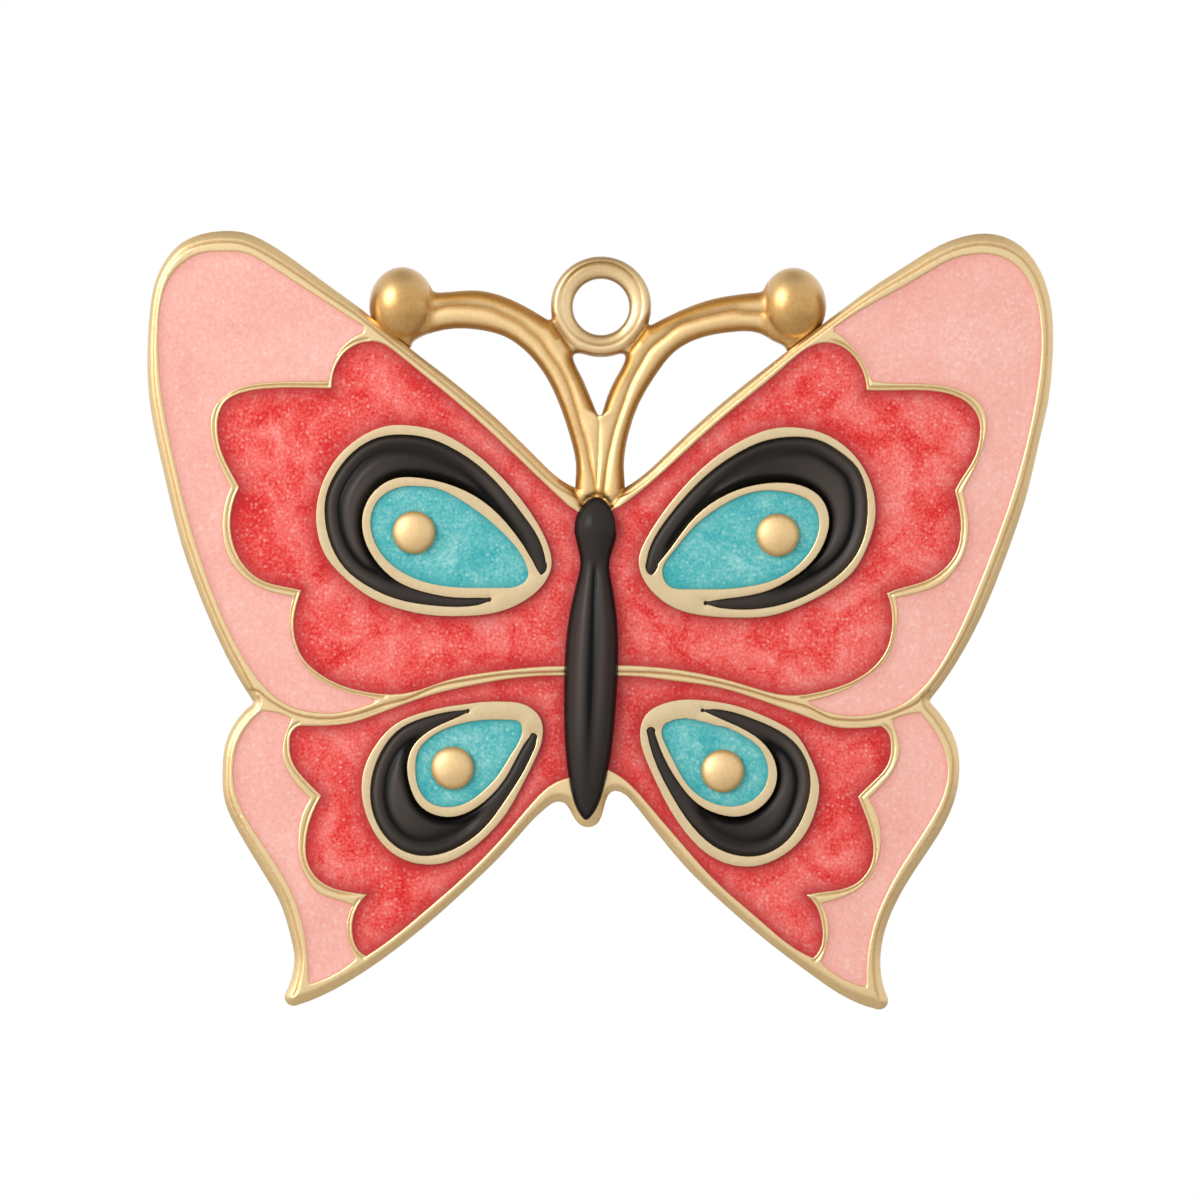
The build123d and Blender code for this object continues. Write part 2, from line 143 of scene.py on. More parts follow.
def keepLeft(shape, line):
    # what is on the left of a line drawn in the front view
    start, end = [Vector(placeOf(pixel)) for pixel in line]
    run = end - start
    cutAway(shape, (start.x, 0, start.y), (run.y, 0, -run.x))


def soften(mesh, rounds, chosen=None):
    # evens out a net of faces, all of it or where chosen
    shape = bmesh.new()
    shape.from_mesh(mesh)
    shape.verts.ensure_lookup_table()
    verts = shape.verts[:] if chosen is None else [shape.verts[index] for index in np.flatnonzero(chosen)]
    for _ in range(rounds):
        bmesh.ops.smooth_vert(shape, verts=verts, factor=0.5, use_axis_x=True, use_axis_y=True,
                              use_axis_z=True)
    shape.to_mesh(mesh)
    shape.free()
    return mesh


def sectionPoints(shape, depth):
    # points along the outline that a cut at one depth leaves
    work = shape.copy()
    everything = work.verts[:] + work.edges[:] + work.faces[:]
    cut = bmesh.ops.bisect_plane(work, geom=everything, plane_co=(0, -depth, 0), plane_no=(0, 1, 0),
                                 dist=nets["cut"])
    found = []
    for part in cut["geom_cut"]:
        if isinstance(part, bmesh.types.BMEdge):
            start, end = part.verts[0].co, part.verts[1].co
            steps = max(1, math.ceil((end - start).length / nets["sectionStep"]))
            found += [start.lerp(end, step / steps) for step in range(steps)]
    work.free()
    return [Vector((point.x, 0, point.z)) for point in found]


def treeOf(points):
    tree = kdtree.KDTree(len(points))
    for index, point in enumerate(points):
        tree.insert(point, index)
    tree.balance()
    return tree


def nearest(tree, points):
    # distance in the front view to an outline's nearest point, and which point that is
    found = [tree.find((point[0], 0, point[2])) for point in points]
    return np.array([hit[2] for hit in found]), np.array([hit[1] for hit in found])


def smoothLine(pixels):
    # a smooth line through drawn points, as close points in millimetres with the way it heads
    corners = [np.array(placeOf(pixel)) for pixel in pixels]
    corners = [2 * corners[0] - corners[1]] + corners + [2 * corners[-1] - corners[-2]]
    line = []
    for before, start, end, after in zip(corners, corners[1:], corners[2:], corners[3:]):
        steps = max(1, math.ceil(np.linalg.norm(end - start) / nets["lineStep"]))
        for step in range(steps):
            part = step / steps
            line.append(0.5 * (2 * start + (end - before) * part
                               + (2 * before - 5 * start + 4 * end - after) * part ** 2
                               + (3 * start - before - 3 * end + after) * part ** 3))
    line = np.array(line + [corners[-2]])
    heading = np.gradient(line, axis=0)
    return line, heading / np.linalg.norm(heading, axis=1)[:, None]


def alongLine(pixels, points):
    # signed distance from a drawn line, positive on its left going along it, and how far along
    line, heading = smoothLine(pixels)
    distance, index = nearest(treeOf([Vector((x, 0, z)) for x, z in line]), points)
    offsets = points[:, [0, 2]] - line[index]
    side = heading[index, 0] * offsets[:, 1] - heading[index, 1] * offsets[:, 0]
    return np.where(side < 0, -distance, distance), index / len(line)


def ease(value, start, end):
    # 0 before start, 1 after end, smooth between them
    share = np.clip((value - start) / (end - start), 0, 1)
    return share * share * (3 - 2 * share)


def belowRow(points, first, last):
    # 0 above the first row of the front view, 1 below the last
    return ease(-points[:, 2], -placeOf((0, first))[1], -placeOf((0, last))[1])


def notch(distance, width):
    # a soft groove of depth 1
    return np.exp(-(distance / width) ** 2)


def raiseTo(points, chosen, hold, top, depth):
    # brings the front to its relief, less and less towards the depth where that ends
    share = (-points[chosen, 1] - hold) / (top - hold)
    points[chosen, 1] = -(hold + share * (depth - hold))


def writeShare(mesh, name, values):
    # one value for all points, or one each
    layer = mesh.attributes.new(name, "FLOAT", "POINT")
    layer.data.foreach_set("value", np.full(len(mesh.vertices), values, np.float32))


def finishPiece(mesh, name, material, replaced, sharpAngle=None):
    mesh.transform(Matrix.Scale(0.001, 4))
    mesh.materials.clear()
    mesh.materials.append(material)
    mesh.shade_smooth()
    if sharpAngle:
        mesh.set_sharp_from_angle(angle=math.radians(sharpAngle))
    mesh.name = name
    piece = bpy.data.objects.new(name, mesh)
    scene.collection.objects.link(piece)
    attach(piece, "root")
    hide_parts(*replaced)


def linearOf(hexColour):
    # an sRGB hex colour as linear values
    channels = [int(hexColour[place:place + 2], 16) / 255 for place in (1, 3, 5)]
    linear = [value / 12.92 if value <= 0.04045 else ((value + 0.055) / 1.055) ** 2.4 for value in channels]
    return (*linear, 1)


def addNode(tree, kind, settings=None, links=None):
    # one shader node with its settings and links; inputs go by name or number
    node = tree.nodes.new(f"ShaderNode{kind}")
    for name, value in (settings or {}).items():
        if isinstance(name, int) or name in node.inputs:
            node.inputs[name].default_value = value
        else:
            setattr(node, name, value)
    for name, (source, output) in (links or {}).items():
        tree.links.new(source.outputs[output], node.inputs[name])
    return node


def newMaterial(name):
    material = bpy.data.materials.new(name)
    material.use_nodes = True
    material.node_tree.nodes.clear()
    return material, material.node_tree


def fillRamp(node, stops):
    ramp = node.color_ramp
    while len(ramp.elements) < len(stops):
        ramp.elements.new(0.5)
    for element, (position, colour) in zip(ramp.elements, stops):
        element.position = position
        element.color = linearOf(colour)


def perMetre(millimetres):
    # a pattern's scale from the size of one feature
    return 1000 / millimetres


goldFinish = {  # pale and deep tone of the plate, how rough it is and how much clear lacquer shows
    "cast": {"pale": "#E8CD9D", "deep": "#B5843E", "roughness": 0.39, "lacquer": 0.4},  # rims and tray
    "drawn": {"pale": "#F1D19B", "deep": "#B5833D", "roughness": 0.47, "lacquer": 0.25},  # antennae
    "turned": {"pale": "#F0D3A3", "deep": "#A6814B", "roughness": 0.39, "lacquer": 0.4},  # ring
    "buffed": {"pale": "#F4DAA5", "deep": "#BD8A3B", "roughness": 0.34, "lacquer": 1.0},  # balls
    "satin": {"pale": "#EFD2A0", "deep": "#B9873F", "roughness": 0.55, "lacquer": 0.12},  # studs
    "brushed": {"pale": "#DFC9A1", "deep": "#B9924F", "roughness": 0.38, "lacquer": 0.5},  # bezels
}
goldTexture = {  # sizes in millimetres, but the bump's height in metres
    "cloud": 1.6, "grain": 0.16, "stroke": 0.35,
    "brush": (1.4, 0.5, 0.10),  # polishing strokes are finer on the real piece; these are drawn to show
    "grainShare": 0.55, "uneven": 0.60, "roughLess": 0.05, "roughMore": 0.07, "lacquerRoughness": 0.32,
    "bump": 0.22, "brushBump": 0.30, "bumpHeight": 0.00001,
}


def goldPlate(kind):
    # Gold plate over a tumbled casting, pale to deep by a tone attribute plus random unevenness; the
    # attribute holds painted shade on shoulders, along edges and in creases and grooves, and a painted paler
    # top on the balls
    finish, texture, brushed = goldFinish[kind], goldTexture, kind == "brushed"
    material, tree = newMaterial(f"{kind}GoldPlate")
    place = addNode(tree, "TexCoord")
    here = {"Vector": (place, "Object")}
    # painted shade, and on the balls a painted paler top, read from each piece's tone attribute
    paintedShade = addNode(tree, "Attribute", {"attribute_name": "toneAndPaintedShade"})
    cloud = addNode(tree, "TexNoise",
                    {"Scale": perMetre(texture["cloud"]), "Detail": 3.0, "Roughness": 0.55}, here)
    grain = addNode(tree, "TexNoise", {"Scale": perMetre(texture["grain"]), "Detail": 2.0}, here)
    mottle = addNode(tree, "Mix", {"data_type": "FLOAT", 0: texture["grainShare"]},
                     {2: (cloud, "Fac"), 3: (grain, "Fac")})
    uneven = addNode(tree, "Math",
                     {"operation": "MULTIPLY_ADD", 1: texture["uneven"], 2: -texture["uneven"] / 2},
                     {0: (mottle, 0)})
    shadedTone = addNode(tree, "Math", {"operation": "ADD", "use_clamp": True},
                         {0: (paintedShade, "Fac"), 1: (uneven, 0)})
    tint = addNode(tree, "Mix", {"data_type": "RGBA", 6: linearOf(finish["pale"]),
                                 7: linearOf(finish["deep"])}, {0: (shadedTone, 0)})
    rough = addNode(tree, "MapRange",
                    {"To Min": finish["roughness"] - texture["roughLess"],
                     "To Max": finish["roughness"] + texture["roughMore"]}, {"Value": (cloud, "Fac")})
    stretch = [perMetre(size) for size in texture["brush"]] if brushed else (1, 1, 1)
    lines = addNode(tree, "Mapping", {"Scale": stretch}, here)
    strokes = addNode(tree, "TexNoise",
                      {"Scale": 1.0 if brushed else perMetre(texture["stroke"]), "Detail": 2.0},
                      {"Vector": (lines, "Vector")})
    height = addNode(tree, "Math", {"operation": "ADD"}, {0: (grain, "Fac"), 1: (strokes, "Fac")})
    bump = addNode(tree, "Bump", {"Strength": texture["brushBump" if brushed else "bump"],
                                  "Distance": texture["bumpHeight"]}, {"Height": (height, 0)})
    surface = addNode(tree, "BsdfPrincipled",
                      {"Metallic": 1.0, "Coat Roughness": texture["lacquerRoughness"],
                       "Coat Weight": finish["lacquer"]},
                      {"Base Color": (tint, 2), "Roughness": (rough, "Result"), "Normal": (bump, "Normal")})
    addNode(tree, "OutputMaterial", None, {"Surface": (surface, "BSDF")})
    return material


# each edge colour is the painted shade that an enamel takes by its walls
enamelFinish = {  # sizes in millimetres; real mica is finer than its flakes here, which are drawn to show
    "pink": {"ramp": [(0.0, "#EBA196"), (0.35, "#F0AEA2"), (0.6, "#F3B6AA"), (0.85, "#F6C0B5"),
                      (1.0, "#FBD3C9")],
             "edge": "#DE8B87", "mica": "#FFE9E1", "micaShare": 0.38, "flake": 0.24, "blotch": 2.6,
             "grain": 0.13, "grainShare": 0.60, "spread": 0.22, "roughness": 0.42, "wisp": 0.2},
    "red": {"ramp": [(0.0, "#D3171A"), (0.25, "#E33A36"), (0.5, "#EC5C56"), (0.75, "#F1726C"),
                     (1.0, "#F68E87")],
            "edge": "#A92227", "mica": "#FFC9C2", "micaShare": 0.55, "flake": 0.19, "blotch": 1.6,
            "grain": 0.12, "grainShare": 0.45, "spread": 0.138, "roughness": 0.38, "wisp": 0.9},
    "teal": {"ramp": [(0.0, "#2BA0A8"), (0.3, "#49B1B6"), (0.52, "#60BBBD"), (0.75, "#7AC7C7"),
                      (1.0, "#98D5D3")],
             "edge": "#2B979C", "mica": "#D2F0EC", "micaShare": 0.5, "flake": 0.21, "blotch": 1.1,
             "grain": 0.12, "grainShare": 0.50, "spread": 0.17, "roughness": 0.36, "wisp": 0.5},
}
micaLook = {  # how round the flakes are, which of them catch the light, and the gloss over them
    "flakeEdge": 0.45, "dimmest": 0.35, "brightest": 0.85, "gloss": 0.3, "bump": 0.10, "bumpHeight": 0.00002,
}


def shimmerEnamel(colour):
    # Translucent enamel with mica in it: soft clouds of colour with fine pale grains, with painted shade
    # darkening it by the walls
    finish = enamelFinish[colour]
    material, tree = newMaterial(f"{colour}ShimmerEnamel")
    place = addNode(tree, "TexCoord")
    here = {"Vector": (place, "Object")}
    # painted shade by the walls
    wall = addNode(tree, "Attribute", {"attribute_name": "wallShadeShare"})
    blotch = addNode(tree, "TexNoise",
                     {"Scale": perMetre(finish["blotch"]), "Detail": 3.0, "Distortion": finish["wisp"]}, here)
    grain = addNode(tree, "TexNoise",
                    {"Scale": perMetre(finish["grain"]), "Detail": 2.0, "Roughness": 0.6}, here)
    both = addNode(tree, "Mix", {"data_type": "FLOAT", 0: finish["grainShare"]},
                   {2: (blotch, "Fac"), 3: (grain, "Fac")})
    level = addNode(tree, "MapRange",
                    {"From Min": 0.5 - finish["spread"], "From Max": 0.5 + finish["spread"]},
                    {"Value": (both, 0)})
    ramp = addNode(tree, "ValToRGB", None, {"Fac": (level, "Result")})
    fillRamp(ramp, finish["ramp"])
    flake = addNode(tree, "TexVoronoi", {"Scale": perMetre(finish["flake"])}, here)
    speck = addNode(tree, "MapRange",
                    {"From Max": micaLook["flakeEdge"], "To Min": finish["micaShare"], "To Max": 0.0},
                    {"Value": (flake, "Distance")})
    tints = addNode(tree, "SeparateColor", None, {"Color": (flake, "Color")})
    chosen = addNode(tree, "MapRange",
                     {"From Min": micaLook["dimmest"], "From Max": micaLook["brightest"]},
                     {"Value": (tints, "Red")})
    glint = addNode(tree, "Math", {"operation": "MULTIPLY"},
                    {0: (speck, "Result"), 1: (chosen, "Result")})
    flaked = addNode(tree, "Mix", {"data_type": "RGBA", 7: linearOf(finish["mica"])},
                     {0: (glint, 0), 6: (ramp, "Color")})
    wallShaded = addNode(tree, "Mix", {"data_type": "RGBA", 7: linearOf(finish["edge"])},
                     {0: (wall, "Fac"), 6: (flaked, 2)})
    bump = addNode(tree, "Bump",
                   {"Strength": micaLook["bump"], "Distance": micaLook["bumpHeight"]},
                   {"Height": (grain, "Fac")})
    surface = addNode(tree, "BsdfPrincipled",
                      {"Roughness": finish["roughness"], "IOR": 1.5, "Specular IOR Level": micaLook["gloss"]},
                      {"Base Color": (wallShaded, 2), "Normal": (bump, "Normal")})
    addNode(tree, "OutputMaterial", None, {"Surface": (surface, "BSDF")})
    return material


# pale and deep are the ends of the black enamel's painted shading
blackFinish = {"pale": "#504945", "deep": "#030202", "cloud": 1.2, "roughness": (0.30, 0.38), "gloss": 0.12}


def blackEnamel():
    # Opaque black enamel, fired glossy and rubbed to satin: a soft sheen with faint warm unevenness, and a
    # colour that runs from pale to deep by painted shading, with painted shade in hollows and painted light
    # on crests and swells
    material, tree = newMaterial("satinBlackEnamel")
    place = addNode(tree, "TexCoord")
    here = {"Vector": (place, "Object")}
    paintedShading = addNode(tree, "Attribute", {"attribute_name": "paintedShadingShare"})
    cloud = addNode(tree, "TexNoise", {"Scale": perMetre(blackFinish["cloud"]), "Detail": 2.0}, here)
    tint = addNode(tree, "Mix", {"data_type": "RGBA", 6: linearOf(blackFinish["pale"]),
                                 7: linearOf(blackFinish["deep"])}, {0: (paintedShading, "Fac")})
    least, most = blackFinish["roughness"]
    rough = addNode(tree, "MapRange", {"To Min": least, "To Max": most}, {"Value": (cloud, "Fac")})
    surface = addNode(tree, "BsdfPrincipled",
                      {"IOR": 1.5, "Specular IOR Level": blackFinish["gloss"]},
                      {"Base Color": (tint, 2), "Roughness": (rough, "Result")})
    addNode(tree, "OutputMaterial", None, {"Surface": (surface, "BSDF")})
    return material


golds = {kind: goldPlate(kind) for kind in goldFinish}
enamels = {colour: shimmerEnamel(colour) for colour in enamelFinish}
satinBlack = blackEnamel()
print("materials ready")


def nodeSection(nodeName, kind):
    # an outline that the relief follows
    shape = nodeShape(nodeName)
    points = sectionPoints(shape, sectionDepth[kind])
    shape.free()
    return points


castingShape = nodeShape("wing_casting")
silhouette = sectionPoints(castingShape, sectionDepth["silhouette"])
silhouetteTree = treeOf(silhouette)
cells = {colour: [point for spot in spots for point in nodeSection(f"{colour}_enamel_{spot}", colour)]
         for colour in ("pink", "red")}
cellTrees = {colour: treeOf(points) for colour, points in cells.items()}
bodyTree = treeOf(nodeSection("body", "body"))


def roll(distance, reach, drop):
    # how far a rounded edge has fallen at a distance in from it
    lean = np.clip(1 - distance / reach, 0, 1)
    return drop * (1 - np.sqrt(1 - lean ** 2))


# antennae and stem: two lobes along a crease, in their own pieces and on the saddle they run on to
feelers = {
    "half": 0.65, "edgeDrop": 0.36, "creaseDrop": 0.05, "footRise": 0.16,
    "lobeShare": 0.62,  # where a lobe is highest, on the way from its edge to the crease
    "grooveDepth": 0.045, "grooveWidth": 0.10, "middleDepth": 0.04, "middleWidth": 0.06,
    "stemRows": (408, 434), "footRows": (450, 492), "endRows": (486, 502),
    "stemInside": 3,  # the lobes' inner sides have no edge in the stem
    "endWiden": 0.25,
    "crease": {
        "left": [(420, 311), (435, 309), (450, 306), (470, 306), (490, 309), (505, 315.5), (520, 323),
                 (531, 332), (541, 341), (549, 353), (561, 370), (569, 387), (576, 409), (582, 430),
                 (585.4, 440), (590, 461), (595, 483), (596, 500)],
        "right": [(775, 313), (757, 312.5), (745, 312), (735, 310.5), (720, 313), (700, 318), (680, 325),
                  (665, 336), (650, 349), (640, 365), (631, 382), (623, 404), (614.5, 429), (610.5, 445),
                  (606.5, 465), (603.3, 490), (602.5, 500)],
    },
    "parting": (598, 440),
    "middle": [(598.6, 411), (598.6, 430), (597.8, 460), (596.6, 490), (596.5, 500)],
    "stemSides": [[(576, 469), (574.5, 490), (573, 512)], [(624, 469), (625.5, 490), (627, 512)]],
}
# painted shade along an edge, more of it below an edge that lies above, and in the grooves; a little deeper
# towards the foot
feelerTone = {  # how deep the plate's tone is, and where it deepens by an edge, more so below a high one
    "flat": 0.12, "foot": 0.2, "edge": 0.85, "edgeMore": 0.15, "groove": 0.75, "seam": 0.5,
    "start": 0.10, "startMore": 0.17, "fade": 0.21, "fadeMore": 0.05,
}


def acrossCrease(points):
    # which side of its own antenna's crease each point is on, and which antenna that is
    signed = [alongLine(feelers["crease"][side], points)[0] for side in sides]
    onRight = points[:, 0] > placeOf(feelers["parting"])[0]
    return np.where(onRight, signed[1], signed[0]), onRight


def feelerRelief(points, inward, upward):
    # front depth and tone of the antennae and their stem, the tone with painted shade by the edges and in the
    # grooves; upward is how far the nearest edge lies above
    side, onRight = acrossCrease(points)
    offset = np.abs(side)
    stem, low, below = [belowRow(points, *feelers[rows]) for rows in ("stemRows", "footRows", "endRows")]
    between = np.where(onRight, side < 0, side > 0) * stem
    inward = inward + feelers["stemInside"] * between + feelers["endWiden"] * below
    middle = np.abs(alongLine(feelers["middle"], points)[0])
    share = inward / np.maximum(inward + offset, 0.01)
    groove = notch(offset, feelers["grooveWidth"])
    seam = notch(middle, feelers["middleWidth"])
    lobe = np.sin(np.pi * middle / np.maximum(middle + offset, 0.01)) * between
    depth = (feelers["half"] + feelers["footRise"] * low
             - roll(share, feelers["lobeShare"], feelers["edgeDrop"])
             - feelers["creaseDrop"] * ease(share, feelers["lobeShare"], 1)
             + feelers["creaseDrop"] * lobe
             - np.maximum(feelers["grooveDepth"] * groove, feelers["middleDepth"] * seam))
    # painted shade by the edges and in the grooves
    tone = feelerTone
    shade = 1 - np.clip((inward - tone["start"] - tone["startMore"] * upward)
                        / (tone["fade"] + tone["fadeMore"] * upward), 0, 1)
    deep = (tone["flat"] + tone["foot"] * low + (tone["edge"] + tone["edgeMore"] * upward) * shade
            + tone["groove"] * np.maximum(groove, tone["seam"] * seam))
    return depth, np.clip(deep, 0, 1)


def edgeDistance(edge, points):
    # distance in from the outline on the same side of the crease, and how far that lies above
    edgeSide, edgeRight = acrossCrease(edge)
    side, onRight = acrossCrease(points)
    inward = np.full(len(points), 9.0)
    rise = np.zeros(len(points))
    for far in (False, True):
        for left in (False, True):
            mine = np.flatnonzero((onRight == far) & ((side > 0) == left))
            theirs = edge[(edgeRight == far) & ((edgeSide > 0) == left)]
            if len(mine) and len(theirs):
                tree = treeOf([Vector(point) for point in theirs])
                inward[mine], index = nearest(tree, points[mine])
                rise[mine] = theirs[index, 2] - points[mine, 2]
    return inward, np.clip(0.5 + 0.6 * rise / np.maximum(inward, 0.02), 0, 1)


def flatPoints(lines):
    # drawn lines as points in the front view
    return np.concatenate([np.insert(smoothLine(line)[0], 1, 0, axis=1) for line in lines])


# wing casting: rims, ribs and the step under the upper wings
rims = {
    "back": -0.95,
    "backRound": 0.08,  # the tray's back edge
    "low": 0.30,  # depth of the parting with the tray
    "high": 0.60,
    "hold": 0.42,  # the relief starts above this depth
    "top": 0.95, "lowerTop": 0.81,
    "voxel": 0.042,
    "mostTriangles": 190000,
    "shoulderShare": 0.55, "shoulderLeast": 0.15, "shoulderMost": 0.50, "shoulderEven": 0.8,
    "shoulderLean": 0.26, "shoulderRound": 0.07,
    "creaseDepth": 0.07, "creaseWidth": 0.055, "creaseLost": 0.8,
    "ribWidth": (0.42, 0.60),
    "ribCrease": 0.13,  # from the red side of a rib
    "ribCreaseDepth": 0.06, "ribCreaseWidth": 0.045,
    "stepSlope": (-0.05, 0.03),
    "stepCrease": 0.06, "stepCreaseDepth": 0.03, "stepCreaseWidth": 0.05,
    "cornerDrop": 0.03, "cornerReach": 0.06,
}
# painted shade on the shoulders and in the rim, rib and step creases; side walls and tray are a set deeper
# tone
rimTone = {"shoulder": 0.10, "crease": 0.62, "rib": 0.65, "step": 0.3, "side": 0.6, "tray": 0.5}
wingStep = [(240, 690), (257, 690), (273, 702), (297, 714), (326, 718), (356, 713.5), (384, 704),
            (408, 697.5), (437, 685.5), (470, 679), (510, 673.5), (564, 671), (616, 671), (660, 672.5),
            (700, 678), (740, 687.5), (775, 698), (806, 706), (829, 717), (846, 719.5), (868, 719),
            (890, 714), (915, 703), (926, 692), (945, 690)]
# the grooves and the collar carry painted shade
foot = {  # where the stem ends on the saddle, between two soft grooves and the collar round the head
    "leftGroove": [(562, 480), (573, 492), (581, 506)],
    "rightGroove": [(613, 506), (620, 496), (630, 482)],
    "grooveDepth": 0.07, "grooveWidth": 0.16, "groovePaintedShade": 0.65,
    "collarDepth": 0.035, "collarWidth": 0.09, "collarPaintedShade": 0.8, "collarOut": 0.10,
    "fall": 0.05, "fallReach": (0.04, 0.34), "stemFade": (-0.10, 0.14),
    "headReach": 1.8, "headTop": 478, "headFade": (540, 525), "pullFade": (0.02, 0.30), "pullReach": 0.35,
    "headLine": [(578, 545), (574.5, 532), (576, 517), (579, 511.5), (582, 507.5), (585, 503.5), (589, 500),
                 (593, 497.8), (596.5, 497), (600, 497.8), (603.5, 500), (607, 503.7), (609.5, 507.5),
                 (611.5, 511.5), (613.5, 517), (615, 532), (611.5, 545)],
}


def headDistance(points):
    # distance out from the head as it is seen, negative inside, and where that outline counts
    outside, _ = alongLine(foot["headLine"], points)
    near = (np.abs(points[:, 0]) < foot["headReach"]) & (points[:, 2] < placeOf((0, foot["headTop"]))[1])
    return outside, near * ease(points[:, 2], *[placeOf((0, row))[1] for row in foot["headFade"]])


def shoulderWidths():
    # how wide the rounded shoulder is at each point of the silhouette, evened out along it
    everyCell = treeOf(cells["pink"] + cells["red"])
    rimWidth = [everyCell.find(point)[2] for point in silhouette]
    close = [[hit[1] for hit in silhouetteTree.find_range(point, rims["shoulderEven"])]
             for point in silhouette]
    narrow = [min(rimWidth[index] for index in group) for group in close]
    even = np.array([sum(narrow[index] for index in group) / len(group) for group in close])
    return np.clip(even * rims["shoulderShare"], rims["shoulderLeast"], rims["shoulderMost"])


def rimRelief(points):
    # the metal's front as a depth, and how deep in tone the plate is there, with painted shade on the
    # shoulder and in the creases
    out, index = nearest(silhouetteTree, points)
    red, pink = [nearest(cellTrees[colour], points)[0] for colour in ("red", "pink")]
    step, _ = alongLine(wingStep, points)
    upper = ease(step, *rims["stepSlope"])
    level = rims["lowerTop"] + (rims["top"] - rims["lowerTop"]) * upper
    width = shoulderWidths()[index]
    lean = np.clip(1 - out / width, 0, 1)
    drop = rims["shoulderLean"] * lean + rims["shoulderRound"] * (1 - np.sqrt(1 - lean ** 2))
    away = points[:, 2] - np.array([point.z for point in silhouette])[index]
    facesDown = ease(away / np.maximum(out, 0.02), 0.3, 0.7) * (1 - upper)
    crease = notch(out - width, rims["creaseWidth"]) * (1 - rims["creaseLost"] * facesDown)
    onRib = (1 - ease(red + pink, *rims["ribWidth"])) * ease(out - width, 0, 0.2)
    ribCrease = onRib * notch(red - rims["ribCrease"], rims["ribCreaseWidth"])
    stepCrease = notch(step + rims["stepCrease"], rims["stepCreaseWidth"]) * ease(out, 0.1, 0.3)
    corner = rims["cornerDrop"] * (1 - ease(np.minimum(red, pink), 0.0, rims["cornerReach"]))
    grooves = np.max([rims["creaseDepth"] * crease, rims["ribCreaseDepth"] * ribCrease,
                      rims["stepCreaseDepth"] * stepCrease], axis=0)
    depth = level - drop - grooves - corner
    # painted shade on the shoulder and in the creases
    deep = (rimTone["shoulder"] * ease(lean, 0, 0.2) + rimTone["crease"] * crease + rimTone["rib"] * ribCrease
            + rimTone["step"] * stepCrease)
    return depth, np.clip(deep, 0, 1)


def footGrooves(points):
    # the grooves beside the stem's foot and the collar that it ends at, as a cut with painted shade in it,
    # and the share that is stem
    left, _ = alongLine(foot["leftGroove"], points)
    right, _ = alongLine(foot["rightGroove"], points)
    inside = np.minimum(left, right)
    head, near = headDistance(points)
    share = ease(inside, *foot["stemFade"]) * near
    groove = notch(inside, foot["grooveWidth"]) * near
    collar = notch(head - foot["collarOut"], foot["collarWidth"]) * near * (inside > foot["stemFade"][0])
    fall = foot["fall"] * (1 - ease(head, *foot["fallReach"])) * share
    cut = np.maximum(foot["grooveDepth"] * groove, foot["collarDepth"] * collar) + fall
    return cut, foot["groovePaintedShade"] * groove + foot["collarPaintedShade"] * collar, share


def footRelief(points, depth, deep):
    # the stem runs on over the saddle and stops at the collar
    stemDepth, stemTone = feelerRelief(points, *edgeDistance(flatPoints(feelers["stemSides"]), points))
    cut, tone, share = footGrooves(points)
    depth = depth * (1 - share) + stemDepth * share - cut
    deep = deep * (1 - share) + stemTone * share
    return depth, np.clip(deep + tone, 0, 1)


def towardsHead(points, wall=None):
    # moves what lies by the head's wall, or else outside the head, onto the outline as it is seen
    head, near = headDistance(points)
    line, heading = smoothLine(foot["headLine"])
    _, index = nearest(treeOf([Vector((x, 0, z)) for x, z in line]), points)
    if wall is None:
        pull = np.maximum(head, 0) * near
    else:
        pull = head * (1 - ease(np.abs(wall), *foot["pullFade"])) * near * (np.abs(head) < foot["pullReach"])
    points[:, 0] += heading[index, 1] * pull
    points[:, 2] -= heading[index, 0] * pull
    return points


web = meshOf(cutBetween(nodeShape("wing_casting"), rims["low"], rims["high"]))
points = pointsOf(web)
points[:, 1] = np.where(points[:, 1] < -rims["high"] + 0.01, -rims["top"], points[:, 1])
movePoints(web, points)
web = soften(evenMesh(web, rims["voxel"]), 2)
points = pointsOf(web)
points = towardsHead(points, nearest(bodyTree, points)[0])
raised = np.flatnonzero(-points[:, 1] > rims["hold"])
depth, deep = footRelief(points[raised], *rimRelief(points[raised]))
raiseTo(points, raised, rims["hold"], rims["top"], depth)
movePoints(web, points)
tone = np.full(len(points), rimTone["side"])
tone[raised] = deep
writeShare(web, "toneAndPaintedShade", tone)
triangles = 2 * len(web.polygons)
if triangles > rims["mostTriangles"]:
    web = withModifier(web, "DECIMATE", ratio=rims["mostTriangles"] / triangles)
finishPiece(web, "wing_rims", golds["cast"], ["wing_casting"])
print("rims and ribs:", triangles, "triangles before thinning,", len(web.polygons), "after")

tray = cutBetween(castingShape, rims["back"], rims["low"])
bmesh.ops.dissolve_limit(tray, angle_limit=math.radians(0.5), use_dissolve_boundaries=False,
                         verts=tray.verts, edges=tray.edges)
backEdges = [edge for edge in tray.edges
             if all(vert.co.y > -rims["back"] - 1e-4 for vert in edge.verts) and not edge.is_boundary
             and edge.calc_face_angle(0) > 1]
bmesh.ops.bevel(tray, geom=backEdges, offset=rims["backRound"], offset_type="OFFSET", segments=4,
                profile=0.5, affect="EDGES", material=-1, clamp_overlap=True)
bmesh.ops.triangulate(tray, faces=tray.faces)
tray = meshOf(tray)
writeShare(tray, "toneAndPaintedShade", rimTone["tray"])
finishPiece(tray, "wing_tray", golds["cast"], ["wing_casting"], sharpAngle=40)
for face in tray.polygons:  # the flat back keeps its own shading beside the rounding
    face.use_smooth = face.normal.y < 0.999
print("tray ready")
